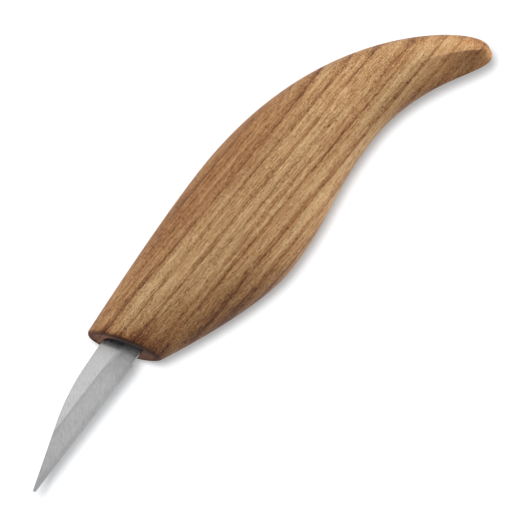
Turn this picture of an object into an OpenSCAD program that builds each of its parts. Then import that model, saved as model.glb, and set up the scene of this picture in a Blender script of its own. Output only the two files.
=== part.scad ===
// Wood carving knife: a short detail blade with a straight edge, whose hidden tang is glued
// into a one-piece hardwood handle with a palm swell and a drooping tail.
// The knife lies on its right side. +X runs to the tip, +Y to the cutting edge and +Z out of
// the blade's left face. Lengths are in millimetres and angles in degrees.
// Distances along the handle count from the middle of its front face, and heights of its
// outline from the blade's middle line, which runs through that point along X.

/* [Handle] */
// Reach of the handle from its front face to the end of its tail
handle_reach = 115.7; // [108:0.1:130]
// Depth of the front face from back to belly, before its rim is rounded
front_depth = 19.2; // [16:0.1:22]
// Thickness of the front face from side to side, before its rim is rounded
front_thick = 16; // [10:0.1:20]
// Slant of the front face, whose back edge stands ahead of its belly edge
front_slant = 17; // [0:1:22]
// Radius of the rounded rim around the front face
rim_round = 1.3; // [0.4:0.1:3]
// Distance from the front face to the crest of the back
crest_at = 46; // [36:0.5:52]
// Rise of the crest of the back over the middle line
crest_rise = 11.8; // [10:0.1:15]
// Distance from the front face to the fullest point of the belly
belly_at = 41; // [32:0.5:48]
// Fall of the fullest point of the belly under the middle line
belly_fall = 21.1; // [16:0.1:25]
// Thickness of the palm swell from side to side, at the crest and the belly
swell_thick = 24; // [16:0.1:30]
// Distance from the front face to the waist between belly and tail
waist_at = 79.5; // [72:0.5:88]
// Fall of the waist under the middle line
waist_fall = 17.4; // [13:0.1:20]
// Thickness of the handle from side to side at the waist
waist_thick = 19; // [12:0.1:24]
// Fall of the end of the tail under the middle line
tail_fall = 25.3; // [20:0.1:32]
// Lean of the tail's end, measured from square to the middle line
tail_lean = 13; // [0:1:25]
// Thickness of the tail's end as a share of its depth, where 1 is round
tail_roundness = 0.9; // [0.6:0.05:1.2]

/* [Handle curves] */
// Squareness of the back half of each section, where 2 is an ellipse
back_square = 2.4; // [1.8:0.1:3.5]
// Squareness of the belly half of each section at the front face
front_belly_square = 1.8; // [1.5:0.1:3]
// Squareness of the belly half of each section at the swell and the waist
belly_square = 2.2; // [1.8:0.1:3.5]
// Squareness of the belly half at the tail's end, where 1 leaves a sharp ridge on each side
tail_square = 1.2; // [1.1:0.1:2.4]
// Angle at which the back leaves the front face, away from the middle line
back_flare = 4.5; // [0:0.5:10]
// Angle at which the belly leaves the front face, away from the middle line
belly_flare = 26; // [15:1:32]
// How far the back holds its direction as it leaves the front face
back_lead = 16; // [4:0.5:24]
// How far the belly holds its direction as it leaves the front face
belly_lead = 6; // [2:0.5:12]
// How far the back runs level ahead of its crest
crest_ahead = 14; // [4:0.5:20]
// How far the back holds level behind its crest before it droops
crest_behind = 50; // [30:0.5:56]
// How far the belly runs level ahead of its fullest point
belly_ahead = 12; // [4:0.5:16]
// How far the belly runs level behind its fullest point
belly_behind = 17; // [8:0.5:22]
// How far the waist runs level ahead of its highest point
waist_ahead = 18; // [8:0.5:20]
// How far the waist runs level behind its highest point
waist_behind = 23; // [10:0.5:26]
// How far the tail's end holds its lean towards the back
tail_back_lead = 5; // [3:0.5:10]
// How far the tail's end holds its lean towards the belly
tail_belly_lead = 11; // [5:0.5:14]

/* [Blade] */
// Length of the cutting edge from its heel to the end of the tip
edge_length = 40; // [30:0.5:56]
// Distance of the edge from the middle line
edge_fall = 4.8; // [4.2:0.1:6]
// Length of the unground neck between the front face and the heel
neck_length = 2.5; // [0.5:0.1:6]
// How much shallower the neck is than the edge
neck_step = 0.6; // [0.1:0.1:0.8]
// Rise of the spine over the middle line at the front face
spine_rise = 5.1; // [4.2:0.1:6.5]
// Angle between the middle line and the straight stretch of the spine at the handle
spine_angle = 3.5; // [0:0.5:8]
// Distance from the front face at which the spine's two straight stretches would meet
spine_meet_at = 17.6; // [14:0.1:22]
// Radius of the bend between the spine's two straight stretches
spine_radius = 60; // [20:1:70]
// Radius of the rounded tip
tip_round = 0.48; // [0.2:0.02:0.8]
// Thickness of the blade between its flats
blade_thick = 2; // [1.5:0.1:3]
// Width of the ground bevel on each side, measured from the edge
bevel_width = 5.5; // [3:0.1:7]
// Width of the honed bevel along the edge
honed_width = 0.4; // [0.2:0.05:1]
// Thickness of the blade where the honed bevel starts
honed_thick = 0.34; // [0.2:0.01:0.4]
// Thickness left along the cutting edge
edge_land = 0.05; // [0.02:0.01:0.1]

/* [Tang and glue] */
// Length of the tang inside the handle
tang_length = 48; // [30:1:60]
// Depth of the tang at the blade's shoulders
tang_root_depth = 7; // [5:0.1:7.4]
// Depth of the tang at its inner end
tang_end_depth = 4.6; // [3:0.1:7]
// Thickness of the tang, ground a little thinner than the blade
tang_thick = 1.6; // [1:0.1:1.9]
// Radius of the notches that key the tang into the glue
notch_radius = 0.7; // [0.3:0.1:1]
// Distance between the tang's notches
notch_pitch = 10; // [6:0.5:14]
// Glue clearance between the tang and the slot on every side
glue_clearance = 0.5; // [0.2:0.1:1.2]
// Radius of the bore that opens in the front face, ahead of the slot for the tang
bore_radius = 4.9; // [4:0.1:6]
// Depth of the bore behind the middle of the front face
bore_depth = 12; // [4:0.5:24]
// Rise of the bore's axis over the middle line
bore_rise = 0.4; // [0:0.1:1]
// How far the glue in the bore stands ahead of the front face, under the blade's shoulders
film_thick = 0.15; // [0.1:0.05:0.5]

/* [Hidden] */
wood_colour = "#B78A5C";
steel_colour = "#C3C5C6";
glue_colour = "#33281F";

// Straight steps that stand for each cubic curve of the outline
curve_steps = 40;
// Sections around the rim, from the rim to the swell and from the swell to the tail
rim_rings = 5;
fore_rings = 12;
aft_rings = 30;
// Points around each section
ring_points = 36;
// How far a cutter reaches past the surface that it cuts
cut_reach = 2;
// How far the tang's front end stands inside the blade
tang_overlap = 3;
// Notches on each edge of the tang
notch_count = 3;
notch_sides = 32;
bore_sides = 64;
// Straight steps that stand for each arc of the blade's outline
arc_steps = 10;

// A cubic curve as a list of points, with its first point left out where it continues another
function cubic(p, t) =
    pow(1 - t, 3) * p[0] + 3 * pow(1 - t, 2) * t * p[1] + 3 * (1 - t) * t * t * p[2] + pow(t, 3) * p[3];
function curve(p, first = 0) = [for (i = [first:curve_steps]) cubic(p, i / curve_steps)];

// The point at a share of the distance along a list of points
function step_length(points, i) = i == 0 ? 0 : norm(points[i] - points[i - 1]);
function travels(points) =
    let (last = len(points) - 1)
    [for (i = 0, way = 0; i <= last; i = i + 1, way = way + step_length(points, min(i, last))) way];
function track(way, points, axis) = [for (i = [0:len(points) - 1]) [way[i], points[i][axis]]];
function at_share(points, share) =
    let (way = travels(points), reach = share * way[len(way) - 1])
    [lookup(reach, track(way, points, 0)), lookup(reach, track(way, points, 1))];

function ease(t) = t * t * (3 - 2 * t);
function mix(a, b, t) = a + (b - a) * t;

// The handle's outline: the back and the belly, each from the front face to the tail's end
back_front = [sin(front_slant), -cos(front_slant)] * front_depth / 2;
belly_front = -back_front;
crest = [-crest_at, -crest_rise];
belly = [-belly_at, belly_fall];
waist = [-waist_at, waist_fall];
tail = [-handle_reach, tail_fall];
back_way = [-cos(back_flare), -sin(back_flare)];
belly_way = [-cos(belly_flare), sin(belly_flare)];
tail_way = [sin(tail_lean), cos(tail_lean)];
back_fore = curve([back_front, back_front + back_lead * back_way, crest + [crest_ahead, 0], crest]);
back_aft = curve([crest, crest - [crest_behind, 0], tail - tail_back_lead * tail_way, tail]);
belly_fore = curve([belly_front, belly_front + belly_lead * belly_way, belly + [belly_ahead, 0], belly]);
belly_to_waist = curve([belly, belly - [belly_behind, 0], waist + [waist_ahead, 0], waist]);
waist_to_tail = curve([waist, waist - [waist_behind, 0], tail + tail_belly_lead * tail_way, tail], 1);
belly_aft = concat(belly_to_waist, waist_to_tail);

// Thickness over depth at the front face, the swell and the waist
belly_aft_way = travels(belly_aft);
waist_share = belly_aft_way[curve_steps] / belly_aft_way[len(belly_aft_way) - 1];
front_ratio = front_thick / front_depth;
swell_ratio = swell_thick / norm(belly - crest);
waist_ratio = waist_thick / norm(waist - at_share(back_aft, waist_share));

// One section of the handle between a point of the back and a point of the belly
function section(back_point, belly_point, ratio, inset, belly_power) =
    let (
        middle = (back_point + belly_point) / 2,
        half_depth = norm(belly_point - back_point) / 2,
        across = (belly_point - back_point) / (2 * half_depth),
        half_thick = half_depth * ratio - inset
    )
    [for (k = [0:ring_points - 1])
        let (
            c = cos(360 * k / ring_points),
            s = sin(360 * k / ring_points),
            power = c > 0 ? belly_power : back_square,
            flat = middle + across * (half_depth - inset) * sign(c) * pow(abs(c), 2 / power)
        )
        [flat.x, flat.y, half_thick * sign(s) * pow(abs(s), 2 / power)]];

function fore_section(share, inset) =
    section(
        at_share(back_fore, share),
        at_share(belly_fore, share),
        mix(front_ratio, swell_ratio, ease(share)),
        inset,
        mix(front_belly_square, belly_square, ease(share))
    );
function aft_section(share) =
    let (past_waist = max(0, (share - waist_share) / (1 - waist_share)))
    section(
        at_share(back_aft, share),
        at_share(belly_aft, share),
        share < waist_share
            ? mix(swell_ratio, waist_ratio, ease(share / waist_share))
            : mix(waist_ratio, tail_roundness, ease(past_waist)),
        0,
        mix(belly_square, tail_square, ease(past_waist))
    );

rim_share = rim_round / belly_at;
sections = concat(
    [for (i = [0:rim_rings - 1])
        let (turn = 90 * i / (rim_rings - 1))
        fore_section(rim_share * (1 - cos(turn)), rim_round * (1 - sin(turn)))],
    [for (i = [1:fore_rings]) fore_section(mix(rim_share, 1, i / fore_rings), 0)],
    [for (i = [1:aft_rings - 1]) aft_section(sin(90 * i / aft_rings))]
);
skin = concat([for (ring = sections) each ring], [[tail.x, tail.y, 0]]);

// The blade's straight edge, rounded tip, and spine that bends towards the handle
heel_x = neck_length;
tip_x = heel_x + edge_length;
neck_fall = edge_fall - neck_step;
tip_centre = [tip_x - tip_round, edge_fall - tip_round];
spine_meet = [spine_meet_at, spine_meet_at * tan(spine_angle) - spine_rise];
meet_to_tip = tip_centre - spine_meet;
point_angle = atan2(meet_to_tip.y, meet_to_tip.x) - asin(tip_round / norm(meet_to_tip));
spine_way = [cos(spine_angle), sin(spine_angle)];
bend_start = spine_meet - spine_radius * tan((point_angle - spine_angle) / 2) * spine_way;
bend_centre = bend_start + spine_radius * [-spine_way.y, spine_way.x];
// Where the spine meets the blade's slanted shoulders, which stand on the glue
shoulder_x = (film_thick / cos(front_slant) + spine_rise * tan(front_slant))
    / (1 + tan(spine_angle) * tan(front_slant));
spine_root = [shoulder_x, shoulder_x * tan(spine_angle) - spine_rise];

// The slot takes the tang with the glue's clearance around it
slot_half_depth = tang_root_depth / 2 + glue_clearance;
slot_thick = tang_thick + 2 * glue_clearance;
slot_length = tang_length + glue_clearance;

// The origin goes under the middle of the knife as it lies
low_x = min([for (p = skin) p.x]);
low_y = min([for (p = skin) p.y]);
high_y = max([for (p = skin) p.y]);
lift = max([for (p = skin) p.z]);
place = [-(low_x + tip_x) / 2, -(low_y + high_y) / 2, lift];

// A point of a plane set ahead of the slanted front face
function face_point(y, ahead) = [ahead / cos(front_slant) - y * tan(front_slant), y];

module handle_blank() {
    last = (len(sections) - 1) * ring_points;
    polyhedron(
        points = skin,
        faces = concat(
            [[for (k = [ring_points - 1:-1:0]) k]],
            [for (i = [0:len(sections) - 2], k = [0:ring_points - 1])
                let (a = i * ring_points, next = (k + 1) % ring_points)
                each [
                    [a + k, a + next, a + ring_points + next],
                    [a + k, a + ring_points + next, a + ring_points + k]
                ]],
            [for (k = [0:ring_points - 1]) [last + k, last + (k + 1) % ring_points, len(skin) - 1]]
        )
    );
}

// The bore and the slot behind it, drawn out to a plane set ahead of the front face
module tang_hole(ahead) {
    translate([-slot_length, -slot_half_depth, -slot_thick / 2])
        cube([slot_length - bore_depth + cut_reach, 2 * slot_half_depth, slot_thick]);
    intersection() {
        translate([-bore_depth, -bore_rise, 0])
            rotate([0, 90, 0])
            cylinder(bore_depth + front_depth, bore_radius, bore_radius, $fn = bore_sides);
        linear_extrude(front_depth, center = true)
            polygon([
                face_point(-front_depth, ahead),
                face_point(front_depth, ahead),
                [-bore_depth - cut_reach, front_depth],
                [-bore_depth - cut_reach, -front_depth]
            ]);
    }
}

// Points along an arc, whose angles count from the arc's -Y end towards +X
function arc(centre, radius, from, to) =
    [for (i = [0:arc_steps])
        let (angle = mix(from, to, i / arc_steps))
        centre + radius * [sin(angle), -cos(angle)]];

// The blade's outline, from its shoulder along the spine to the tip and back along the edge
module blade_outline() {
    polygon(concat(
        [spine_root],
        arc(bend_centre, spine_radius, spine_angle, point_angle),
        arc(tip_centre, tip_round, point_angle, 180),
        [
            [heel_x, edge_fall],
            [heel_x - neck_step, neck_fall],
            face_point(neck_fall, film_thick)
        ]
    ));
}

// What the grinder takes off one side along the edge
module bevel_cut() {
    half_thick = blade_thick / 2;
    translate([heel_x, 0, 0])
        rotate([90, 0, 90])
        linear_extrude(edge_length + cut_reach)
        polygon([
            [edge_fall - bevel_width, half_thick],
            [edge_fall - honed_width, honed_thick / 2],
            [edge_fall, edge_land / 2],
            [edge_fall + cut_reach, edge_land / 2],
            [edge_fall + cut_reach, half_thick + cut_reach],
            [edge_fall - bevel_width, half_thick + cut_reach]
        ]);
}

// The tang, whose front end stands inside the blade
module tang() {
    linear_extrude(tang_thick, center = true)
        difference() {
            polygon([
                [tang_overlap, -tang_root_depth / 2],
                [tang_overlap, tang_root_depth / 2],
                [0, tang_root_depth / 2],
                [-tang_length, tang_end_depth / 2],
                [-tang_length, -tang_end_depth / 2],
                [0, -tang_root_depth / 2]
            ]);
            for (i = [1:notch_count], side = [-1, 1]) {
                half_depth = mix(tang_root_depth, tang_end_depth, i * notch_pitch / tang_length) / 2;
                translate([-i * notch_pitch, side * half_depth])
                    circle(notch_radius, $fn = notch_sides);
            }
        }
}

module handle() {
    color(wood_colour)
        translate(place)
        difference() {
            handle_blank();
            tang_hole(cut_reach);
        }
}

module blade() {
    color(steel_colour)
        translate(place)
        difference() {
            union() {
                linear_extrude(blade_thick, center = true)
                    blade_outline();
                tang();
            }
            bevel_cut();
            mirror([0, 0, 1])
                bevel_cut();
        }
}

module glue_bed() {
    color(glue_colour)
        translate(place)
        difference() {
            tang_hole(film_thick);
            tang();
        }
}

handle();
blade();
glue_bed();
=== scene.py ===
from math import asin, atan2, cos, hypot, pi, radians, sin, tan

import bmesh
import bpy
from mathutils import Matrix, Vector


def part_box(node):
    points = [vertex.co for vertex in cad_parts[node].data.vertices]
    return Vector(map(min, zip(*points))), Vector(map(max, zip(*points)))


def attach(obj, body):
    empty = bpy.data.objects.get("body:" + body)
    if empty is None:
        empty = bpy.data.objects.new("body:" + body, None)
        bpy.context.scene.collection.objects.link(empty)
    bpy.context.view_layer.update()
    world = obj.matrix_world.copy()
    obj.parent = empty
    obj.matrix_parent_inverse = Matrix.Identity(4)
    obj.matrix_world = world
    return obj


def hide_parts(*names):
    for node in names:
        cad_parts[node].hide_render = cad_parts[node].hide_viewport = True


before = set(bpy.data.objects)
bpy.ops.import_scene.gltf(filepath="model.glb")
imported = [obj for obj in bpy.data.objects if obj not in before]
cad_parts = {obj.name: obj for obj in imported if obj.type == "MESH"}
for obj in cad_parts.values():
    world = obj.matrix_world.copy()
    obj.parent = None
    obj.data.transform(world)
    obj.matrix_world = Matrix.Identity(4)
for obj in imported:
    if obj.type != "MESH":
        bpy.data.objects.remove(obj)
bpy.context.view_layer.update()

# Handle
# One piece of ring-porous hardwood, sawn to the outline of the palm, rounded on a sanding belt and oiled.
# A bore in the slanted front face, straight beside the blade's heel, and a slot behind it take the tang.

# Lengths are in millimetres, in the knife's own frame: the origin is in the middle of the front face, +X
# runs to the tip, +Y to the cutting edge and +Z out of the blade's left face.
MM = 0.001
edge_fall = 4.8
tip_x = 42.5
blade_low, blade_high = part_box("blade")
origin = Vector((
    blade_high.x - tip_x * MM,
    blade_high.y - edge_fall * MM,
    (blade_low.z + blade_high.z) / 2,
))

front_depth = 19.2
front_thick = 16
front_slant = radians(17)
rim_round = 0.6
crest = Vector((-46, -11.8))
belly = Vector((-41, 21.1))
swell_thick = 24
waist = Vector((-79.5, 17.4))
waist_thick = 19
tail = Vector((-115.7, 25.3))
tail_lean = radians(13)
tail_roundness = 0.9
back_flare = radians(4.5)
belly_flare = radians(26)

# How square a section is: 2 is an ellipse, more is boxier and 1 is a straight slope. On the tail a crease
# grows, and the thickest place moves from the middle towards the belly.
back_square = 2.4
front_belly_square = 1.8
belly_square = 2.2
tail_square = 1.1
middle_ridge = 0.5
tail_ridge = 0.585
tail_end_ridge = 0.74
crease_start = 0.2
crease_full = 0.75

# How far each curve of the outline pulls along its tangents, at its start and at its end.
back_fore_pulls = (16, 14)
back_aft_pulls = (50, 5)
belly_fore_pulls = (6, 12)
belly_waist_pulls = (17, 18)
waist_tail_pulls = (23, 11)

# The bore is round, but cut straight on the edge's side: above the blade, beside its heel and below it.
bore_radius = 5.5
bore_depth = 12
bore_shift = 0.75
bore_lip = 0.25
bore_above = 4.75
bore_beside = 4.25
bore_below = 3.05
heel_height = 1.1
slot_half_depth = 4
slot_half_thick = 1.3
slot_end = -48.5

curve_steps = 160
rim_rings = 8
fore_rings = 60
aft_rings = 120
face_rings = 8
lip_rings = 5
bore_wall_places = (8, 4, 2, 1)
ring_points = 144
soft_crease = radians(40)
rounding = 1e-9


def curve(start, start_way, end, end_way, pulls):
    """A cubic curve between two points, pulled along a way at each of them, as a list of points."""
    start_hold = start + start_way * pulls[0]
    end_hold = end + end_way * pulls[1]
    points = []
    for i in range(curve_steps + 1):
        t = i / curve_steps
        s = 1 - t
        points.append(s**3 * start + 3 * s * s * t * start_hold + 3 * s * t * t * end_hold + t**3 * end)
    return points


def travels(points):
    """The distance covered at each point of a line."""
    way = [0]
    for a, b in zip(points, points[1:]):
        way.append(way[-1] + (b - a).length)
    return way


def at_share(points, share):
    """The point at a share of the distance along a line."""
    way = travels(points)
    goal = min(max(share, 0), 1) * way[-1]
    i = next(k for k in range(1, len(way)) if way[k] >= goal - rounding)
    return points[i - 1].lerp(points[i], (goal - way[i - 1]) / (way[i] - way[i - 1]))


def mix(a, b, t):
    return a + (b - a) * t


def ease(t):
    t = min(max(t, 0), 1)
    return t * t * (3 - 2 * t)


back_front = Vector((sin(front_slant), -cos(front_slant))) * front_depth / 2
belly_front = -back_front
back_way = Vector((-cos(back_flare), -sin(back_flare)))
belly_way = Vector((-cos(belly_flare), sin(belly_flare)))
tail_way = Vector((sin(tail_lean), cos(tail_lean)))
ahead = Vector((1, 0))
back_fore = curve(back_front, back_way, crest, ahead, back_fore_pulls)
back_aft = curve(crest, -ahead, tail, -tail_way, back_aft_pulls)
belly_fore = curve(belly_front, belly_way, belly, ahead, belly_fore_pulls)
belly_to_waist = curve(belly, -ahead, waist, ahead, belly_waist_pulls)
waist_to_tail = curve(waist, -ahead, tail, tail_way, waist_tail_pulls)
belly_aft = belly_to_waist + waist_to_tail[1:]

waist_share = travels(belly_to_waist)[-1] / travels(belly_aft)[-1]
front_ratio = front_thick / front_depth
swell_ratio = swell_thick / (belly - crest).length
waist_ratio = waist_thick / (waist - at_share(back_aft, waist_share)).length


def signed_power(value, power):
    return abs(value) ** power * (1 if value > 0 else -1)


def section(back_point, belly_point, ratio, square, ridge=middle_ridge, inset=0):
    """One section from the back to the belly, thickest at the ridge's share of the way."""
    depth = (belly_point - back_point).length
    across = (belly_point - back_point) / depth
    top = back_point + across * depth * ridge
    ring = []
    for k in range(ring_points):
        c = cos(2 * pi * k / ring_points)
        s = sin(2 * pi * k / ring_points)
        run = depth * (1 - ridge) if c > 0 else depth * ridge
        power = 2 / square if c > 0 else 2 / back_square
        flat = top + across * (run - inset) * signed_power(c, power)
        ring.append(Vector((flat.x, flat.y, (depth / 2 * ratio - inset) * signed_power(s, power))))
    return ring


def fore_section(share, inset=0):
    """A section between the front face and the palm swell."""
    return section(
        at_share(back_fore, share),
        at_share(belly_fore, share),
        mix(front_ratio, swell_ratio, ease(share)),
        mix(front_belly_square, belly_square, ease(share)),
        inset=inset,
    )


def aft_section(share):
    """A section between the palm swell and the tail's end."""
    past_waist = (share - waist_share) / (1 - waist_share)
    if share < waist_share:
        ratio = mix(swell_ratio, waist_ratio, ease(share / waist_share))
    else:
        ratio = mix(waist_ratio, tail_roundness, ease(past_waist))
    creased = ease((past_waist - crease_start) / (crease_full - crease_start))
    ended = ease((past_waist - crease_full) / (1 - crease_full))
    return section(
        at_share(back_aft, share),
        at_share(belly_aft, share),
        ratio,
        mix(belly_square, tail_square, creased),
        ridge=mix(mix(middle_ridge, tail_ridge, creased), tail_end_ridge, ended),
    )


def bore_side(z):
    """How far the bore reaches towards the edge at a height."""
    above = mix(bore_beside, bore_above, ease(z - heel_height))
    return above + (bore_below - bore_beside) * ease(-z - heel_height)


def bore_ring(radius, behind):
    """A ring of the bore in a plane behind the slanted front face."""
    ring = []
    for k in range(ring_points):
        turn = 2 * pi * k / ring_points
        z = radius * sin(turn)
        y = min(radius * cos(turn) + bore_shift, bore_side(z) + radius - bore_radius)
        ring.append(Vector((-behind / cos(front_slant) - y * tan(front_slant), y, z)))
    return ring


def box_ring(x, half_y, half_z):
    """A ring on a rectangle that stands square to the middle line."""
    ring = []
    for k in range(ring_points):
        turn = 2 * pi * k / ring_points
        shrink = max(abs(cos(turn)) / half_y, abs(sin(turn)) / half_z)
        ring.append(Vector((x, cos(turn) / shrink, sin(turn) / shrink)))
    return ring


def between(ring, other, t):
    return [a.lerp(b, t) for a, b in zip(ring, other)]


weld_distance = 0.002
sliver_length = 0.001


def loft(name, rings, sharp):
    """A closed mesh through rings of points in the knife's frame, with a flat cap at each end."""
    shape = bmesh.new()
    made = [[shape.verts.new(origin + p * MM) for p in ring] for ring in rings]
    for ring, other in zip(made, made[1:]):
        for k in range(len(ring)):
            after = (k + 1) % len(ring)
            shape.faces.new((ring[k], ring[after], other[after], other[k]))
    shape.faces.new(made[0])
    shape.faces.new(made[-1])
    bmesh.ops.remove_doubles(shape, verts=shape.verts, dist=weld_distance * MM)
    bmesh.ops.dissolve_degenerate(shape, edges=shape.edges, dist=sliver_length * MM)
    bmesh.ops.recalc_face_normals(shape, faces=shape.faces)
    mesh = bpy.data.meshes.new(name)
    shape.to_mesh(mesh)
    shape.free()
    mesh.shade_smooth()
    mesh.set_sharp_from_angle(angle=sharp)
    piece = bpy.data.objects.new(name, mesh)
    bpy.context.scene.collection.objects.link(piece)
    return piece


quarter = pi / 2
bore_bottom = bore_ring(bore_radius, bore_depth)
hole_rings = [
    box_ring(slot_end, slot_half_depth, slot_half_thick),
    box_ring(bore_bottom[0].x, slot_half_depth, slot_half_thick),
    bore_bottom,
]
hole_rings += [bore_ring(bore_radius, behind) for behind in bore_wall_places]
for i in range(lip_rings):
    turn = quarter * i / (lip_rings - 1)
    hole_rings.append(bore_ring(bore_radius + bore_lip * (1 - cos(turn)), bore_lip * (1 - sin(turn))))
face_edge = fore_section(0, rim_round)
face = [between(hole_rings[-1], face_edge, i / face_rings) for i in range(1, face_rings)]
rim_share = rim_round / -belly.x
rim = []
for i in range(rim_rings):
    turn = quarter * i / (rim_rings - 1)
    rim.append(fore_section(rim_share * (1 - cos(turn)), rim_round * (1 - sin(turn))))
fore = [fore_section(mix(rim_share, 1, i / fore_rings)) for i in range(1, fore_rings + 1)]
aft = [aft_section(sin(quarter * i / aft_rings)) for i in range(1, aft_rings)]
tail_end = [Vector((tail.x, tail.y, 0))] * ring_points
handle = loft("handle_wood", hole_rings + face + rim + fore + aft + [tail_end], soft_crease)


def linear(colour):
    """An sRGB hex colour as linear light, with full alpha."""
    parts = [int(colour[i:i + 2], 16) / 255 for i in (1, 3, 5)]
    return [p / 12.92 if p <= 0.04045 else ((p + 0.055) / 1.055) ** 2.4 for p in parts] + [1]


def add(tree, kind, inputs=None, ramp=(), **settings):
    """Adds a node with its settings, its ramp's stops, and its inputs, each a value or a socket to link.

    A Map Range takes its value, the two ends it comes from and the two it goes to as inputs 0 to 4. A Mix
    takes its share as input 0 and its colours as inputs 6 and 7, and gives its colour as output 2.
    """
    made = tree.nodes.new(kind)
    for name, value in settings.items():
        setattr(made, name, value)
    for i, (position, colour) in enumerate(ramp):
        stops = made.color_ramp.elements
        stop = stops[i] if i < 2 else stops.new(position)
        stop.position = position
        stop.color = linear(colour) if isinstance(colour, str) else [colour] * 3 + [1]
    for name, value in (inputs or {}).items():
        if isinstance(value, bpy.types.NodeSocket):
            tree.links.new(value, made.inputs[name])
        else:
            made.inputs[name].default_value = value
    return made.outputs


# Oiled ring-porous hardwood, sanded fine: golden brown with russet zones, a darker line of pores where each
# year's growth starts, fine streaks and short open pores along the grain, and a low sheen. The oil has
# darkened the end grain and the wood behind the front face, and painted shade darkens faces that turn from
# the light, the front belly, the rim and upper part of the front face, and the bore.
wood = bpy.data.materials.new("oiled_ring_porous_hardwood_sanded")
wood.use_nodes = True
tree = wood.node_tree
tree.nodes.clear()

# Where a point lies on the knife, in millimetres, how far it faces the front, and where it lies in the grain.
ring_tilt = radians(-11.3)
grain_turn = radians(-1.9)
knife_frame = {"Location": origin, "Scale": (MM, MM, MM)}
place = add(tree, "ShaderNodeTexCoord")["Object"]
knife = add(tree, "ShaderNodeMapping", {"Vector": place, **knife_frame}, vector_type="TEXTURE")["Vector"]
knife_axes = add(tree, "ShaderNodeSeparateXYZ", {"Vector": knife})
along = knife_axes["X"]
edgeward = knife_axes["Y"]
height = knife_axes["Z"]
behind_face = add(tree, "ShaderNodeVectorMath", {
    0: knife, 1: (-cos(front_slant), -sin(front_slant), 0),
}, operation="DOT_PRODUCT")["Value"]
normal = add(tree, "ShaderNodeNewGeometry")["Normal"]
facing = add(tree, "ShaderNodeSeparateXYZ", {"Vector": normal})["X"]
grain = add(tree, "ShaderNodeMapping", {
    "Vector": place, **knife_frame, "Rotation": (ring_tilt, 0, grain_turn),
}, vector_type="TEXTURE")["Vector"]

# Growth rings: where each year starts, in millimetres from the belly to the back, and how dark its first
# pores are. Over each length and width the rings wander by so much, and they are darker in some patches.
ring_low = -27
ring_high = 15
years = (
    (-24.5, 0.5), (-22.2, 0.25), (-21, 0.35), (-19.6, 0.6), (-18.4, 0.5), (-16, 0.65), (-12.5, 0.8),
    (-7.95, 0.55), (-6.4, 0.2), (-3.6, 0.2), (-1.15, 0.9), (2.3, 0.95), (6, 0.95), (9, 0.4), (11.4, 0.15),
)
edge_year_dark = 0.5
wanders = ((70, 14, 0.9), (20, 4, 0.25), (2.5, 0.3, 0.5))
patch_length = 110
patch_width = 4
patch_least = 0.5
patch_most = 1.3
noise_middle = 0.5
noise_low = 0.3
noise_high = 0.7
growth = add(tree, "ShaderNodeSeparateXYZ", {"Vector": grain})["Y"]
growth = add(tree, "ShaderNodeMath", {0: growth, 1: -1}, operation="MULTIPLY")[0]
for length, width, by in wanders:
    stretched = add(tree, "ShaderNodeVectorMath", {
        0: grain, 1: (1 / length, 1 / width, 1 / width),
    }, operation="MULTIPLY")[0]
    wander = add(tree, "ShaderNodeTexNoise", {"Vector": stretched, "Scale": 1, "Detail": 1})[0]
    wander = add(tree, "ShaderNodeMath", {0: wander, 1: -noise_middle}, operation="ADD")[0]
    growth = add(tree, "ShaderNodeMath", {0: wander, 1: by, 2: growth}, operation="MULTIPLY_ADD")[0]
ring_share = add(tree, "ShaderNodeMapRange", {0: growth, 1: ring_low, 2: ring_high})[0]
starts = [(start - ring_low) / (ring_high - ring_low) for start, dark in years]
year_count = len(years) + 1
counts = [(start, (i + 1) / year_count) for i, start in enumerate(starts)]
counted = add(tree, "ShaderNodeValToRGB", {"Fac": ring_share}, ramp=[(0, 0), *counts, (1, 1)])["Color"]
year = add(tree, "ShaderNodeMath", {0: counted, 1: year_count}, operation="MULTIPLY")[0]
season = add(tree, "ShaderNodeMath", {0: year}, operation="FRACT")[0]
darks = [(share, dark) for share, (start, dark) in zip(starts, years)]
ring_dark = add(tree, "ShaderNodeValToRGB", {"Fac": ring_share}, ramp=[
    (0, edge_year_dark), *darks, (1, edge_year_dark),
])["Color"]
ring_dark.node.color_ramp.interpolation = "CONSTANT"
stretched = add(tree, "ShaderNodeVectorMath", {
    0: grain, 1: (1 / patch_length, 1 / patch_width, 1 / patch_width),
}, operation="MULTIPLY")[0]
patch = add(tree, "ShaderNodeTexNoise", {"Vector": stretched, "Scale": 1, "Detail": 1})[0]
patch = add(tree, "ShaderNodeMapRange", {
    0: patch, 1: noise_low, 2: noise_high, 3: patch_least, 4: patch_most,
})[0]
ring_dark = add(tree, "ShaderNodeMath", {0: ring_dark, 1: patch}, operation="MULTIPLY")[0]

# The wood's tone, from 0 for dark to 1 for pale: through a year, from its first pores to its last dense
# wood, set against the year's mean, and then from ring to ring.
year_mean = 0.75
year_contrast = 0.4
year_tone = add(tree, "ShaderNodeValToRGB", {"Fac": season}, ramp=[
    (0, 0.45), (0.05, 0.1), (0.1, 0), (0.18, 0.3), (0.28, 0.6), (0.42, 0.85), (0.62, 0.95), (0.85, 1),
    (0.96, 0.95), (1, 0.7),
])["Color"]
ring_tone = add(tree, "ShaderNodeValToRGB", {"Fac": ring_share}, ramp=[
    (0, 0.57), (0.2, 0.56), (0.31, 0.65), (0.4, 0.68), (0.49, 0.56), (0.54, 0.65), (0.6, 0.66),
    (0.67, 0.58), (0.76, 0.58), (0.8, 0.46), (0.86, 0.57), (1, 0.56),
])["Color"]
tone = add(tree, "ShaderNodeMath", {0: year_tone, 1: -year_mean}, operation="ADD")[0]
tone = add(tree, "ShaderNodeMath", {0: tone, 1: ring_dark}, operation="MULTIPLY")[0]
tone = add(tree, "ShaderNodeMath", {0: tone, 1: year_contrast, 2: ring_tone}, operation="MULTIPLY_ADD")[0]

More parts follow.
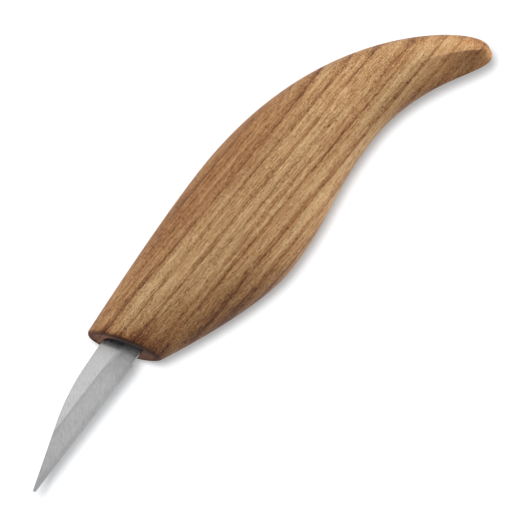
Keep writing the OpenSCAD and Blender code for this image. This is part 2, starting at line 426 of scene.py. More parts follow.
# Streaks: their length and width, and how much each kind lightens or darkens. The finest stand for fibres
# and are drawn far wider than real ones, so that they show.
streaks = (
    (0.6, 0.17, 1.1), (4, 0.17, 0.85), (25, 0.2, 0.5), (80, 0.4, 0.35), (110, 0.8, 0.4), (140, 2, 0.7),
    (45, 6, 0.3),
)
streak_depth_in_widths = 3
for length, width, contrast in streaks:
    stretched = add(tree, "ShaderNodeVectorMath", {
        0: grain, 1: (1 / length, 1 / width, 1 / (width * streak_depth_in_widths)),
    }, operation="MULTIPLY")[0]
    streak = add(tree, "ShaderNodeTexNoise", {"Vector": stretched, "Scale": 1, "Detail": 2})[0]
    streak = add(tree, "ShaderNodeMath", {0: streak, 1: -noise_middle}, operation="ADD")[0]
    tone = add(tree, "ShaderNodeMath", {0: streak, 1: contrast, 2: tone}, operation="MULTIPLY_ADD")[0]

# Pores: short open vessels, as wide as the large ones of such a wood, crowded at the start of a year and
# fainter on the tail. Pale flecks lie among them.
pore_length = 1.1
pore_width = 0.24
pore_rim = 0.42
pore_floor = 0.2
faint_pore = -0.2
dark_pore = -0.6
fade_from = -60
fade_to = -95
front_pores = 1.15
tail_pores = 0.65
fleck_share = 0.28
fleck_tone = 0.32
fleck_rim = 0.5
fleck_middle = 0.25
cells = add(tree, "ShaderNodeVectorMath", {
    0: grain, 1: (1 / pore_length, 1 / pore_width, 1 / pore_width),
}, operation="MULTIPLY")[0]
pore = add(tree, "ShaderNodeTexVoronoi", {"Vector": cells, "Scale": 1})
lots = add(tree, "ShaderNodeSeparateColor", {0: pore["Color"]})
crowding = add(tree, "ShaderNodeValToRGB", {"Fac": season}, ramp=[
    (0, 1), (0.3, 0.8), (0.6, 0.45), (1, 0.6),
])["Color"]
open_pore = add(tree, "ShaderNodeMapRange", {0: pore["Distance"], 1: pore_rim, 2: pore_floor})[0]
chosen = add(tree, "ShaderNodeMath", {0: lots["Red"], 1: crowding}, operation="LESS_THAN")[0]
open_pore = add(tree, "ShaderNodeMath", {0: open_pore, 1: chosen}, operation="MULTIPLY")[0]
pore_tone = add(tree, "ShaderNodeMapRange", {0: lots["Green"], 3: faint_pore, 4: dark_pore})[0]
fading = add(tree, "ShaderNodeMapRange", {
    0: along, 1: fade_from, 2: fade_to, 3: front_pores, 4: tail_pores,
})[0]
pore_tone = add(tree, "ShaderNodeMath", {0: pore_tone, 1: fading}, operation="MULTIPLY")[0]
tone = add(tree, "ShaderNodeMath", {0: open_pore, 1: pore_tone, 2: tone}, operation="MULTIPLY_ADD")[0]
fleck = add(tree, "ShaderNodeMath", {0: lots["Blue"], 1: 1 - fleck_share}, operation="GREATER_THAN")[0]
fleck = add(tree, "ShaderNodeMath", {0: fleck, 1: fleck_tone}, operation="MULTIPLY")[0]
pale = add(tree, "ShaderNodeMapRange", {0: pore["Distance"], 1: fleck_rim, 2: fleck_middle})[0]
tone = add(tree, "ShaderNodeMath", {0: fleck, 1: pale, 2: tone}, operation="MULTIPLY_ADD")[0]

# Slopes cut the fibres, and the tone by facing also holds painted shade and sheen: faces that turn to the
# front are darker and those that turn back paler, but faces of the tail that turn back are darkened, for
# their end grain and as painted shade. The tone also drifts along the handle, the other way in the belly's
# rings.
slope = 0.5
facing_shade_tone = 0.11
tail_grain_shade_from = -0.3
tail_grain_shade_full = -0.75
tail_grain_shade_tone = -0.35
drift_from = -100
drift_to = -10
drift_tone = 0.1
belly_rings_end = 0.3
back_rings_start = 0.45
belly_drift = -1.4
facing_shade = add(tree, "ShaderNodeMapRange", {0: facing, 1: -slope, 2: slope, 3: facing_shade_tone, 4: -facing_shade_tone})[0]
tone = add(tree, "ShaderNodeMath", {0: facing_shade, 1: tone}, operation="ADD")[0]
drift = add(tree, "ShaderNodeMapRange", {
    0: along, 1: drift_from, 2: drift_to, 3: -drift_tone, 4: drift_tone,
})[0]
drift_turn = add(tree, "ShaderNodeMapRange", {
    0: ring_share, 1: belly_rings_end, 2: back_rings_start, 3: belly_drift, 4: 1,
})[0]
tone = add(tree, "ShaderNodeMath", {0: drift, 1: drift_turn, 2: tone}, operation="MULTIPLY_ADD")[0]
tail_grain_and_shade = add(tree, "ShaderNodeMapRange", {
    0: facing, 1: tail_grain_shade_from, 2: tail_grain_shade_full, 3: 0, 4: tail_grain_shade_tone,
})[0]
tone = add(tree, "ShaderNodeMath", {0: tail_grain_and_shade, 1: tone}, operation="ADD")[0]

# Darkening from the front face, partly oil that soaked in and partly painted shade where the belly turns from
# the light: it reaches far back along the belly and a little way at the blade. Close behind the face it
# darkens all but the back, as oil and painted shade.
soak_shade_tone = -0.27
soak_shade_starts = 0.5
soak_shade_belly = 13
soak_shade_shortest = 2
soak_shade_longest = 46
soak_shade_span_low = -8
soak_shade_span_high = 16
rim_soak_shade_tone = -0.2
rim_soak_shade_length = 5
rim_soak_shade_starts = -9
rim_soak_shade_full = -6
soak_shade_length = add(tree, "ShaderNodeMapRange", {
    0: edgeward, 1: soak_shade_starts, 2: soak_shade_belly, 3: soak_shade_shortest, 4: soak_shade_longest,
})[0]
soak_and_shade = add(tree, "ShaderNodeMapRange", {
    0: behind_face, 1: 0, 2: soak_shade_length, 3: soak_shade_tone, 4: 0,
}, interpolation_type="SMOOTHSTEP")[0]
soak_shade_place = add(tree, "ShaderNodeMapRange", {0: edgeward, 1: soak_shade_span_low, 2: soak_shade_span_high})[0]
soak_shade_share = add(tree, "ShaderNodeValToRGB", {"Fac": soak_shade_place}, ramp=[
    (0, 0), (0.38, 0.6), (0.5, 0.95), (0.62, 0.9), (0.75, 0.55), (1, 0.6),
])["Color"]
soak_and_shade = add(tree, "ShaderNodeMath", {0: soak_and_shade, 1: soak_shade_share}, operation="MULTIPLY")[0]
rim_soak_shade = add(tree, "ShaderNodeMapRange", {
    0: behind_face, 1: 0, 2: rim_soak_shade_length, 3: rim_soak_shade_tone, 4: 0,
}, interpolation_type="SMOOTHSTEP")[0]
off_back = add(tree, "ShaderNodeMapRange", {0: edgeward, 1: rim_soak_shade_starts, 2: rim_soak_shade_full})[0]
soak_and_shade = add(tree, "ShaderNodeMath", {0: rim_soak_shade, 1: off_back, 2: soak_and_shade}, operation="MULTIPLY_ADD")[0]
tone = add(tree, "ShaderNodeMath", {0: soak_and_shade, 1: tone}, operation="ADD")[0]

# Two hues for every tone. Russet takes over in some rings and thin strips, in the outer rings of the tail,
# less at its very end, and where the soak and its painted shade darken the front.
strip_length = 60
strip_width = 1.6
strip_red = 0.35
tail_red = 0.6
tail_end_red = 0.2
tail_red_from = -85
tail_red_full = -100
tail_red_falls = -106
tail_red_least = -113
outer_from = 0.35
outer_full = 0.25
soak_shade_red = -2.5
golden = add(tree, "ShaderNodeValToRGB", {"Fac": tone}, ramp=[
    (0, "#4A2C1A"), (0.25, "#7C5438"), (0.5, "#A07850"), (0.75, "#BA976C"), (1, "#D0B286"),
])["Color"]
russet = add(tree, "ShaderNodeValToRGB", {"Fac": tone}, ramp=[
    (0, "#47291A"), (0.25, "#764930"), (0.5, "#986A45"), (0.75, "#AE8054"), (1, "#C0946A"),
])["Color"]
red_rings = add(tree, "ShaderNodeValToRGB", {"Fac": ring_share}, ramp=[
    (0, 0.7), (0.25, 0.4), (0.4, 0.2), (0.45, 0.5), (0.52, 0.1), (0.76, 0.1), (0.81, 0.5), (0.9, 0.8),
    (1, 0.9),
])["Color"]
stretched = add(tree, "ShaderNodeVectorMath", {
    0: grain, 1: (1 / strip_length, 1 / strip_width, 1 / strip_width),
}, operation="MULTIPLY")[0]
strip = add(tree, "ShaderNodeTexNoise", {"Vector": stretched, "Scale": 1, "Detail": 2})[0]
strip = add(tree, "ShaderNodeMapRange", {
    0: strip, 1: noise_low, 2: noise_high, 3: -strip_red, 4: strip_red,
})[0]
red = add(tree, "ShaderNodeMath", {0: red_rings, 1: strip}, operation="ADD")[0]
reddened = add(tree, "ShaderNodeMapRange", {
    0: along, 1: tail_red_from, 2: tail_red_full, 3: 0, 4: tail_red,
})[0]
red_left = add(tree, "ShaderNodeMapRange", {
    0: along, 1: tail_red_falls, 2: tail_red_least, 3: tail_red, 4: tail_end_red,
})[0]
reddened = add(tree, "ShaderNodeMath", {0: reddened, 1: red_left}, operation="MINIMUM")[0]
outer = add(tree, "ShaderNodeMapRange", {0: ring_share, 1: outer_from, 2: outer_full})[0]
red = add(tree, "ShaderNodeMath", {0: reddened, 1: outer, 2: red}, operation="MULTIPLY_ADD")[0]
red = add(tree, "ShaderNodeMath", {
    0: soak_and_shade, 1: soak_shade_red, 2: red,
}, operation="MULTIPLY_ADD", use_clamp=True)[0]
colour = add(tree, "ShaderNodeMix", {0: red, 6: golden, 7: russet}, data_type="RGBA")[2]

# The front face: reddish end grain with painted shadow as a dark band under its rim, speckled by its pores.
# It is darkest above and beside the blade, where shadow is painted, and the wall of the bore is darkened to
# near black, partly as glue stain and partly as painted shade in the hollow.
face_from = 0.6
face_full = 0.9
face_share = 0.6
speckle_dark_tone = -0.15
speckle_pale_tone = 0.4
speckle_least = 0.65
speckle_most = 1.4
face_shadow_share = 0.75
face_shadow_height = 3.5
face_shadow_from = -6
face_shadow_full = -1
bore_stain_shade_from = 0.02
end_grain = add(tree, "ShaderNodeMapRange", {0: facing, 1: face_from, 2: face_full})[0]
from_middle = add(tree, "ShaderNodeVectorMath", {
    0: knife, 1: (0, 2 / (front_depth * cos(front_slant)), 2 / front_thick),
}, operation="MULTIPLY")[0]
from_middle = add(tree, "ShaderNodeVectorMath", {0: from_middle}, operation="LENGTH")["Value"]
# The ramp's dark band near the rim is painted shadow.
face_colour_and_rim_shadow = add(tree, "ShaderNodeValToRGB", {"Fac": from_middle}, ramp=[
    (0, "#BA8C78"), (0.74, "#BE907C"), (0.82, "#966C5C"), (0.88, "#5E4034"), (1, "#6E4C42"),
])["Color"]
speckle = add(tree, "ShaderNodeMapRange", {
    0: tone, 1: speckle_dark_tone, 2: speckle_pale_tone, 3: speckle_least, 4: speckle_most,
})[0]
face_colour_and_rim_shadow = add(tree, "ShaderNodeVectorMath", {0: face_colour_and_rim_shadow, "Scale": speckle}, operation="SCALE")[0]
tinted = add(tree, "ShaderNodeMath", {0: end_grain, 1: face_share}, operation="MULTIPLY")[0]
colour = add(tree, "ShaderNodeMix", {0: tinted, 6: colour, 7: face_colour_and_rim_shadow}, data_type="RGBA")[2]
# Painted shadow on the face above and beside the blade.
above = add(tree, "ShaderNodeMapRange", {0: height, 1: 0, 2: face_shadow_height, 3: 0, 4: face_shadow_share})[0]
beside = add(tree, "ShaderNodeMapRange", {0: edgeward, 1: face_shadow_from, 2: face_shadow_full})[0]
face_shadow = add(tree, "ShaderNodeMath", {0: above, 1: beside}, operation="MULTIPLY")[0]
face_shadow = add(tree, "ShaderNodeMath", {0: face_shadow, 1: end_grain}, operation="MULTIPLY")[0]
colour = add(tree, "ShaderNodeMix", {0: face_shadow, 6: colour, 7: linear("#3A241A")}, data_type="RGBA")[2]
# The bore's wall is darkened to near black, partly glue stain and partly painted shade in the hollow.
from_bore = add(tree, "ShaderNodeVectorMath", {
    0: knife, 1: (0, 1, 1), 2: (0, -bore_shift, 0),
}, operation="MULTIPLY_ADD")[0]
from_bore = add(tree, "ShaderNodeVectorMath", {0: from_bore}, operation="LENGTH")["Value"]
in_bore = add(tree, "ShaderNodeMath", {0: from_bore, 1: bore_radius + bore_lip}, operation="LESS_THAN")[0]
shallow = add(tree, "ShaderNodeMath", {0: behind_face, 1: bore_depth}, operation="LESS_THAN")[0]
in_bore = add(tree, "ShaderNodeMath", {0: in_bore, 1: shallow}, operation="MULTIPLY")[0]
bore_stain_and_shade = add(tree, "ShaderNodeMapRange", {0: behind_face, 1: bore_stain_shade_from, 2: bore_lip})[0]
bore_stain_and_shade = add(tree, "ShaderNodeMath", {0: bore_stain_and_shade, 1: in_bore}, operation="MULTIPLY")[0]
colour = add(tree, "ShaderNodeMix", {0: bore_stain_and_shade, 6: colour, 7: linear("#0F0B09")}, data_type="RGBA")[2]

# The sanded surface: open pores are sunk, and end grain shines less.
pore_sink = -0.5
relief = 0.1
relief_strength = 0.15
side_rough = 0.55
end_rough = 0.8
end_rough_from = 0.45
end_rough_full = 0.95
oil_specular = 0.2
surface = add(tree, "ShaderNodeMath", {0: open_pore, 1: pore_sink, 2: tone}, operation="MULTIPLY_ADD")[0]
bump = add(tree, "ShaderNodeBump", {
    "Height": surface, "Strength": relief_strength, "Distance": relief * MM,
})["Normal"]
sheen = add(tree, "ShaderNodeMapRange", {
    0: facing, 1: end_rough_from, 2: end_rough_full, 3: side_rough, 4: end_rough,
})[0]
oiled = add(tree, "ShaderNodeBsdfPrincipled", {
    "Base Color": colour, "Roughness": sheen, "Specular IOR Level": oil_specular, "Normal": bump,
})["BSDF"]
add(tree, "ShaderNodeOutputMaterial", {"Surface": oiled})
handle.data.materials.append(wood)
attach(handle, "root")
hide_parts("handle")

# Blade
# One piece of tool steel, blanked with its tang, ground flat, then ground to a bevel on both sides of its
# edge and honed. The tang is notched to hold in the glue.
heel_x = 2.5
neck_step = 0.6
spine_step = 0.55
spine_step_at = 1.2
spine_step_length = 1.1
spine_rise = 5.1
spine_angle = radians(3.5)
spine_meet_at = 17.6
spine_radius = 60
tip_round = 0.4
half_thick = 1
bevel_width = 5.5
honed_width = 0.4
honed_half_thick = 0.17
spine_chamfer = 0.14
chamfer_most_of_thickness = 0.4
chamfer_most_of_depth = 0.3
plunge_length = 3.2
plunge_behind_heel = 1.92
blade_root = -2.9
tang_half_thick = 0.8
tang_root_half = 3.5
tang_end_half = 2.3
tang_end = -48
notch_count = 3
notch_radius = 0.7
notch_pitch = 10

flat_rows = 10
row_soft = 0.06
grind_line_rows = (-3, -1, 0, 1, 3)
first_bevel_row = 5
bevel_rows = 24
notch_steps = 16
tip_steps = 12
root_step = 0.25
neck_fine_step = 0.1
heel_step = 0.2
heel_length = 3
blade_step = 0.4
crisp_crease = radians(30)

neck_fall = edge_fall - neck_step
grind_y = edge_fall - bevel_width
honed_y = edge_fall - honed_width
tip_centre = Vector((tip_x - tip_round, edge_fall - tip_round))
spine_meet = Vector((spine_meet_at, spine_meet_at * tan(spine_angle) - spine_rise))
meet_to_tip = tip_centre - spine_meet
point_angle = atan2(meet_to_tip.y, meet_to_tip.x) - asin(tip_round / meet_to_tip.length)
bend_run = spine_radius * tan((point_angle - spine_angle) / 2)
bend_start = spine_meet - bend_run * Vector((cos(spine_angle), sin(spine_angle)))
bend_end = spine_meet + bend_run * Vector((cos(point_angle), sin(point_angle)))
bend_centre = bend_start + spine_radius * Vector((-sin(spine_angle), cos(spine_angle)))
tip_start = tip_centre + tip_round * Vector((sin(point_angle), -cos(point_angle)))


def spine_y(x):
    """The spine: a step at the mouth, a straight, a bend, a straight and the rounded tip."""
    if x < bend_start.x:
        step = spine_step * ease((spine_step_at + spine_step_length - x) / spine_step_length)
        return bend_start.y + (x - bend_start.x) * tan(spine_angle) + step
    if x < bend_end.x:
        return bend_centre.y - (spine_radius**2 - (x - bend_centre.x) ** 2) ** 0.5
    if x < tip_start.x:
        return bend_end.y + (x - bend_end.x) * tan(point_angle)
    return tip_centre.y - max(tip_round**2 - (x - tip_centre.x) ** 2, 0) ** 0.5


def edge_y(x):
    """The edge's side: the neck, the sloping heel, the straight edge and the rounded tip."""
    if x < tip_centre.x:
        return min(max(neck_fall, edge_fall - (heel_x - x)), edge_fall)
    return tip_centre.y + max(tip_round**2 - (x - tip_centre.x) ** 2, 0) ** 0.5


def blade_half(x, y):
    """Half of the blade's thickness at a point of its side."""
    to_edge = edge_fall - y
    if to_edge < honed_width:
        ground = honed_half_thick * to_edge / honed_width
    else:
        ground = mix(honed_half_thick, half_thick, (to_edge - honed_width) / (bevel_width - honed_width))
    plunge = ease((x - heel_x + plunge_behind_heel) / plunge_length)
    return min(half_thick, mix(half_thick, ground, plunge))


def side(x):
    """The points of the blade's left side at one place, from the spine to the edge."""
    top = spine_y(x)
    low = edge_y(x)
    bevel_top = grind_y + row_soft * first_bevel_row
    rows = [mix(top, max(top, grind_y), i / flat_rows) for i in range(flat_rows)]
    rows += [grind_y + row_soft * k for k in grind_line_rows]
    rows += [mix(bevel_top, honed_y - row_soft, i / bevel_rows) for i in range(bevel_rows + 1)]
    rows += [honed_y + row_soft, honed_y + honed_width / 2, edge_fall]
    chamfer = min(
        spine_chamfer,
        blade_half(x, top) * chamfer_most_of_thickness,
        (low - top) * chamfer_most_of_depth,
    )
    points = [Vector((x, top, blade_half(x, top) - chamfer))]
    for row in sorted(min(max(y, top), low) for y in rows):
        y = max(row, top + chamfer)
        points.append(Vector((x, y, blade_half(x, y))))
    return points


def both_sides(left):
    return left + [Vector((p.x, p.y, -p.z)) for p in reversed(left)]


def tang_side(x):
    """The points of the tang's left side at one place, which count as many as the blade's."""
    half = mix(tang_root_half, tang_end_half, x / tang_end)
    for i in range(1, notch_count + 1):
        off = abs(x + i * notch_pitch)
        if off < notch_radius:
            half -= (notch_radius**2 - off**2) ** 0.5
    last = len(side(0)) - 1
    return [Vector((x, mix(-half, half, i / last), tang_half_thick)) for i in range(last + 1)]


def spread(start, end, step):
    """Places from start up to end, about a step apart."""
    steps = max(1, round((end - start) / step))
    return [mix(start, end, i / steps) for i in range(steps)]


tang_places = [tang_end]
for i in range(notch_count, 0, -1):
    turns = [pi * k / notch_steps for k in range(notch_steps + 1)]
    tang_places += [-i * notch_pitch - notch_radius * cos(turn) for turn in turns]
tang_places.append(blade_root)
blade_places = spread(blade_root, heel_x - neck_step, root_step)
blade_places += spread(heel_x - neck_step, heel_x, neck_fine_step)
blade_places += spread(heel_x, heel_x + heel_length, heel_step)
blade_places += spread(heel_x + heel_length, tip_start.x, blade_step)
tip_turn = asin((tip_start.x - tip_centre.x) / tip_round)
for i in range(tip_steps + 1):
    blade_places.append(tip_centre.x + tip_round * sin(mix(tip_turn, quarter, i / tip_steps)))
tang_rings = [both_sides(tang_side(x)) for x in tang_places]
blade_rings = [both_sides(side(x)) for x in blade_places]
blade = loft("blade_steel", tang_rings + blade_rings, crisp_crease)
level_faces = blade.modifiers.new("level_faces", "WEIGHTED_NORMAL")
level_faces.keep_sharp = True

# Satin ground tool steel: neutral grey and evenly blurred, with the flat a shade brighter than the bevel.
# Fine grinding lines run slantwise, drawn far wider than real ones so that they show. Near the handle the
# steel is darkened by painted shadow and a painted reflection of the dark wood, and a few specks of glue
# stick there.
steel = bpy.data.materials.new("satin_ground_tool_steel")
steel.use_nodes = True
tree = steel.node_tree
tree.nodes.clear()
place = add(tree, "ShaderNodeTexCoord")["Object"]
knife = add(tree, "ShaderNodeMapping", {"Vector": place, **knife_frame}, vector_type="TEXTURE")["Vector"]
edgeward = add(tree, "ShaderNodeSeparateXYZ", {"Vector": knife})["Y"]
ahead_of_face = add(tree, "ShaderNodeVectorMath", {
    0: knife, 1: (cos(front_slant), sin(front_slant), 0),
}, operation="DOT_PRODUCT")["Value"]

# Shades of the flat and of the bevel, with painted shadow and a painted reflection of the dark wood from
# inside the mouth to where they end.
mouth_inside = -1
root_shade_end = 11
from_root = add(tree, "ShaderNodeMapRange", {0: ahead_of_face, 1: mouth_inside, 2: root_shade_end})[0]
flat_grey_and_root_shade = add(tree, "ShaderNodeValToRGB", {"Fac": from_root}, ramp=[
    (0, "#505050"), (0.11, "#828282"), (0.175, "#9A9A9A"), (0.21, "#C8C8C8"), (0.3, "#C4C4C4"),
    (1, "#C6C6C6"),
])["Color"]
bevel_grey_and_root_shade = add(tree, "ShaderNodeValToRGB", {"Fac": from_root}, ramp=[
    (0, "#7E7E7E"), (0.14, "#9E9E9E"), (0.21, "#888888"), (0.31, "#949494"), (0.41, "#A4A4A4"),
    (0.58, "#A8A8A8"), (1, "#B2B2B2"),
])["Color"]

# The bevel starts softly near the handle and crisply farther on.
soft_until = 1
crisp_from = 8
soft_width = 1.6
crisp_width = 0.15
bevel_lead = 0.05
bevel_full = add(tree, "ShaderNodeMapRange", {
    0: ahead_of_face, 1: soft_until, 2: crisp_from, 3: grind_y + soft_width, 4: grind_y + crisp_width,
})[0]
on_bevel = add(tree, "ShaderNodeMapRange", {0: edgeward, 1: grind_y - bevel_lead, 2: bevel_full})[0]
shade = add(tree, "ShaderNodeMix", {0: on_bevel, 6: flat_grey_and_root_shade, 7: bevel_grey_and_root_shade}, data_type="RGBA")[2]

# The tone across the blade: softer at the spine, a dim line along the grind, and dimmer again before the edge
# and towards the tip. Faces that don't lie flat, such as the spine, get painted shade for their tilt.
flat_width = 4.4
dim_from = 16
dim_to = 38
dim_tip = 0.9
lying_from = 0.6
lying_full = 0.95
tilted_bright = 0.6
share_across = add(tree, "ShaderNodeMapRange", {0: edgeward, 1: grind_y - flat_width, 2: edge_fall})[0]
bright = add(tree, "ShaderNodeValToRGB", {"Fac": share_across}, ramp=[
    (0, 0.93), (0.1, 0.98), (0.25, 1), (0.435, 1), (0.455, 0.9), (0.49, 0.94), (0.56, 1), (0.83, 1),
    (0.92, 0.88), (0.965, 0.9), (1, 1),
])["Color"]
towards_tip = add(tree, "ShaderNodeMapRange", {
    0: ahead_of_face, 1: dim_from, 2: dim_to, 3: 1, 4: dim_tip,
})[0]
bright = add(tree, "ShaderNodeMath", {0: bright, 1: towards_tip}, operation="MULTIPLY")[0]
# Painted shade: faces that tilt from lying flat are dimmed.
normal = add(tree, "ShaderNodeNewGeometry")["Normal"]
lying = add(tree, "ShaderNodeSeparateXYZ", {"Vector": normal})["Z"]
lying = add(tree, "ShaderNodeMath", {0: lying}, operation="ABSOLUTE")[0]
lying = add(tree, "ShaderNodeMapRange", {0: lying, 1: lying_from, 2: lying_full, 3: tilted_bright, 4: 1})[0]
bright = add(tree, "ShaderNodeMath", {0: bright, 1: lying}, operation="MULTIPLY")[0]

# Grinding lines, clouds a few millimetres wide, and the specks of glue, which are rarer away from the root.
line_turn = radians(37)
line_length = 1.1
line_width = 0.2
line_contrast = 0.16
cloud_width = 2.5
cloud_contrast = 0.04
ground_low = 0.25
ground_high = 0.75
specks_per_mm = 1.8
specks_from = 0.8
specks_to = 2.2
speck_level_root = 0.62
speck_level_far = 0.85
speck_bright = 0.5
satin_rough = 0.28
line_rough = 0.15
ground = add(tree, "ShaderNodeMapping", {
    "Vector": place, **knife_frame, "Rotation": (0, 0, line_turn),
}, vector_type="TEXTURE")["Vector"]
ground = add(tree, "ShaderNodeVectorMath", {
    0: ground, 1: (1 / line_length, 1 / line_width, 1),
}, operation="MULTIPLY")[0]
line = add(tree, "ShaderNodeTexNoise", {"Vector": ground, "Scale": 1, "Detail": 2})[0]
lined = add(tree, "ShaderNodeMapRange", {
    0: line, 1: ground_low, 2: ground_high, 3: 1 - line_contrast, 4: 1 + line_contrast,
})[0]
bright = add(tree, "ShaderNodeMath", {0: bright, 1: lined}, operation="MULTIPLY")[0]
cloud = add(tree, "ShaderNodeTexNoise", {"Vector": knife, "Scale": 1 / cloud_width, "Detail": 2})[0]
clouded = add(tree, "ShaderNodeMapRange", {
    0: cloud, 1: ground_low, 2: ground_high, 3: 1 - cloud_contrast, 4: 1 + cloud_contrast,
})[0]
bright = add(tree, "ShaderNodeMath", {0: bright, 1: clouded}, operation="MULTIPLY")[0]
speck = add(tree, "ShaderNodeTexNoise", {"Vector": knife, "Scale": specks_per_mm, "Detail": 1})[0]
speck_level = add(tree, "ShaderNodeMapRange", {
    0: ahead_of_face, 1: specks_from, 2: specks_to, 3: speck_level_root, 4: speck_level_far,
})[0]
clean = add(tree, "ShaderNodeMath", {0: speck, 1: speck_level}, operation="LESS_THAN")[0]
clean = add(tree, "ShaderNodeMapRange", {0: clean, 3: speck_bright, 4: 1})[0]
bright = add(tree, "ShaderNodeMath", {0: bright, 1: clean}, operation="MULTIPLY")[0]
shade = add(tree, "ShaderNodeVectorMath", {0: shade, "Scale": bright}, operation="SCALE")[0]
rough = add(tree, "ShaderNodeMath", {0: line, 1: line_rough, 2: satin_rough}, operation="MULTIPLY_ADD")[0]
satin = add(tree, "ShaderNodeBsdfPrincipled", {
    "Base Color": shade, "Metallic": 1, "Roughness": rough,
})["BSDF"]
add(tree, "ShaderNodeOutputMaterial", {"Surface": satin})
blade.data.materials.append(steel)
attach(blade, "root")
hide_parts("blade")

# Glue bed
# Dark two-part epoxy, poured into the bore and the slot before the tang went in. It has set a little under
# the front face, and climbs at the wood and at the steel.
glue_recess = 1.1
climb = 0.45
climb_reach = 0.8
glue_gap = 0.02
under_root = 0.5
surface_rings = 16
neck_half = (edge_y(0) - spine_y(0)) / 2
neck_middle = (edge_y(0) + spine_y(0)) / 2


def glue_surface(t):
    """A ring of the glue's surface, from the bore's wall at 0 to the blade's root at 1."""
    wall_ring = bore_ring(bore_radius - glue_gap, glue_recess)
    root_ring = box_ring(0, neck_half - glue_gap, half_thick - glue_gap)
    ring = []
    for a, b in zip(wall_ring, root_ring):
        y = mix(a.y, b.y + neck_middle, t)
        z = mix(a.z, b.z, t)
        nearest = min(hypot(a.y - y, a.z - z), hypot(b.y + neck_middle - y, b.z - z))
        rise = climb * max(0, 1 - nearest / climb_reach) ** 2
        ring.append(Vector(((rise - glue_recess) / cos(front_slant) - y * tan(front_slant), y, z)))
    return ring


glue_rings = [
    box_ring(slot_end + glue_gap, slot_half_depth - glue_gap, slot_half_thick - glue_gap),
    box_ring(bore_bottom[0].x + glue_gap, slot_half_depth - glue_gap, slot_half_thick - glue_gap),
    bore_ring(bore_radius - glue_gap, bore_depth - glue_gap),
]
glue_rings += [glue_surface(i / surface_rings) for i in range(surface_rings + 1)]
glue_rings += [
    [Vector((blade_root - under_root, p.y, p.z)) for p in glue_rings[-1]],
    box_ring(blade_root - under_root, tang_root_half - glue_gap, tang_half_thick - glue_gap),
    box_ring(tang_end + glue_gap, tang_end_half - glue_gap, tang_half_thick - glue_gap),
]
glue = loft("glue_epoxy", glue_rings, soft_crease)

# Cured dark epoxy: near black brown and a little glossy, dulled in patches by dust.
dust_width = 0.8
cured_rough = 0.4
dust_rough = 0.3
epoxy_ior = 1.55
epoxy = bpy.data.materials.new("cured_dark_epoxy")
epoxy.use_nodes = True
tree = epoxy.node_tree
tree.nodes.clear()
place = add(tree, "ShaderNodeTexCoord")["Object"]
dust = add(tree, "ShaderNodeTexNoise", {"Vector": place, "Scale": 1 / (dust_width * MM), "Detail": 3})[0]
brown = add(tree, "ShaderNodeValToRGB", {"Fac": dust}, ramp=[(0.3, "#0C0908"), (0.7, "#1A1411")])["Color"]
gloss = add(tree, "ShaderNodeMath", {0: dust, 1: dust_rough, 2: cured_rough}, operation="MULTIPLY_ADD")[0]
cured = add(tree, "ShaderNodeBsdfPrincipled", {
    "Base Color": brown, "Roughness": gloss, "IOR": epoxy_ior,
})["BSDF"]
add(tree, "ShaderNodeOutputMaterial", {"Surface": cured})
glue.data.materials.append(epoxy)
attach(glue, "root")
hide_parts("glue_bed")

# Studio
# A wide white table under a soft sky, with a broad lamp on each side of the knife, one almost overhead for
# the shadow, and a long lens that looks down steeply on the knife. Distances are in metres.
image_right = Vector((-0.599, 0.8006, 0))
image_up = Vector((-0.8006, -0.599, 0))
lean = radians(15)
view_span = 129.3 * MM
view_middle = Vector((-37.66, 14.59, 0)) * MM
camera_distance = 4
camera_reach = 20
upright = Vector((0, 0, 1))
towards_camera = cos(lean) * upright - sin(lean) * image_up
lens_up = cos(lean) * image_up + sin(lean) * upright

lens = bpy.data.cameras.new("camera")
lens.lens = lens.sensor_width * camera_distance / view_span
lens.clip_end = camera_reach
camera = bpy.data.objects.new("camera", lens)
camera_place = Matrix.Translation(origin + view_middle + camera_distance * towards_camera)
camera_turn = Matrix((image_right, lens_up, towards_camera)).transposed().to_4x4()
camera.matrix_world = camera_place @ camera_turn
bpy.context.scene.collection.objects.link(camera)
bpy.context.scene.camera = camera

table_half = 3
table_mesh = bpy.data.meshes.new("table")
corners = [(x * table_half, y * table_half, 0) for x, y in ((-1, -1), (1, -1), (1, 1), (-1, 1))]
table_mesh.from_pydata(corners, [], [(0, 1, 2, 3)])
table = bpy.data.objects.new("table", table_mesh)
bpy.context.scene.collection.objects.link(table)

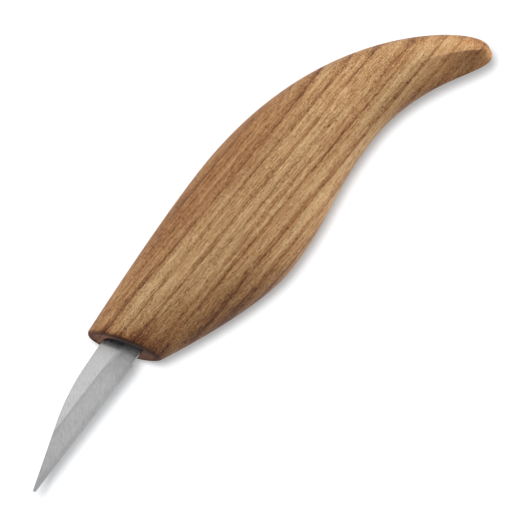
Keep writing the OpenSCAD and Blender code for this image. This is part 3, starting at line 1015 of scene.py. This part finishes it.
# Matt white board: it scatters evenly, and a part of its white is light of its own, seen by the lens and in
# the steel, so that the shadow on it stays soft. It throws as much light on the knife as a grey board.
own_light_share = 0.3
board = bpy.data.materials.new("matt_white_board")
board.use_nodes = True
tree = board.node_tree
tree.nodes.clear()
path = add(tree, "ShaderNodeLightPath")
seen = add(tree, "ShaderNodeMath", {
    0: path["Is Camera Ray"], 1: path["Is Glossy Ray"],
}, operation="MAXIMUM")[0]
seen = add(tree, "ShaderNodeMath", {0: seen, 1: path["Is Transmission Ray"]}, operation="MAXIMUM")[0]
white = add(tree, "ShaderNodeMix", {
    0: seen, 6: linear("#959595"), 7: linear("#F9FCFF"),
}, data_type="RGBA")[2]
matt = add(tree, "ShaderNodeBsdfDiffuse", {"Color": white})["BSDF"]
own_light = add(tree, "ShaderNodeMath", {0: seen, 1: own_light_share}, operation="MULTIPLY")[0]
lit = add(tree, "ShaderNodeEmission", {"Color": linear("#FFFFFF"), "Strength": own_light})["Emission"]
both = add(tree, "ShaderNodeAddShader", {0: matt, 1: lit})["Shader"]
add(tree, "ShaderNodeOutputMaterial", {"Surface": both})
table_mesh.materials.append(board)

# The sky is white to the lens and in the steel, and lights things softly.
sky_light = 0.2
sky = bpy.data.worlds.new("soft_studio")
bpy.context.scene.world = sky
sky.use_nodes = True
tree = sky.node_tree
tree.nodes.clear()
path = add(tree, "ShaderNodeLightPath")
seen = add(tree, "ShaderNodeMath", {
    0: path["Is Camera Ray"], 1: path["Is Glossy Ray"],
}, operation="MAXIMUM")[0]
seen = add(tree, "ShaderNodeMath", {0: seen, 1: path["Is Transmission Ray"]}, operation="MAXIMUM")[0]
sky_level = add(tree, "ShaderNodeMapRange", {0: seen, 3: sky_light, 4: 1})[0]
soft = add(tree, "ShaderNodeBackground", {"Color": linear("#FFFFFF"), "Strength": sky_level})["Background"]
add(tree, "ShaderNodeOutputWorld", {"Surface": soft})

knife_pieces = bpy.data.collections.new("knife_pieces")
for piece in (handle, blade, glue):
    knife_pieces.objects.link(piece)
table_pieces = bpy.data.collections.new("table_pieces")
table_pieces.objects.link(table)


def softbox(name, turn, rise, share, width, lights):
    """A far softbox: its turn counts from the image's right, and its share is of the light on white."""
    lamp_way = cos(rise) * (cos(turn) * image_right + sin(turn) * image_up) + sin(rise) * upright
    light = bpy.data.lights.new(name, "SUN")
    light.energy = share * pi
    light.angle = width
    lamp = bpy.data.objects.new(name, light)
    lamp.rotation_euler = lamp_way.to_track_quat("Z", "Y").to_euler()
    lamp.visible_glossy = False
    lamp.light_linking.receiver_collection = lights
    bpy.context.scene.collection.objects.link(lamp)


softbox("right_softbox", radians(29), radians(18), 1.5, radians(50), knife_pieces)
softbox("left_softbox", radians(160), radians(29), 0.72, radians(50), knife_pieces)
softbox("overhead_softbox", radians(236), radians(80), 0.62, radians(14), table_pieces)

bpy.context.scene.view_settings.view_transform = "Standard"
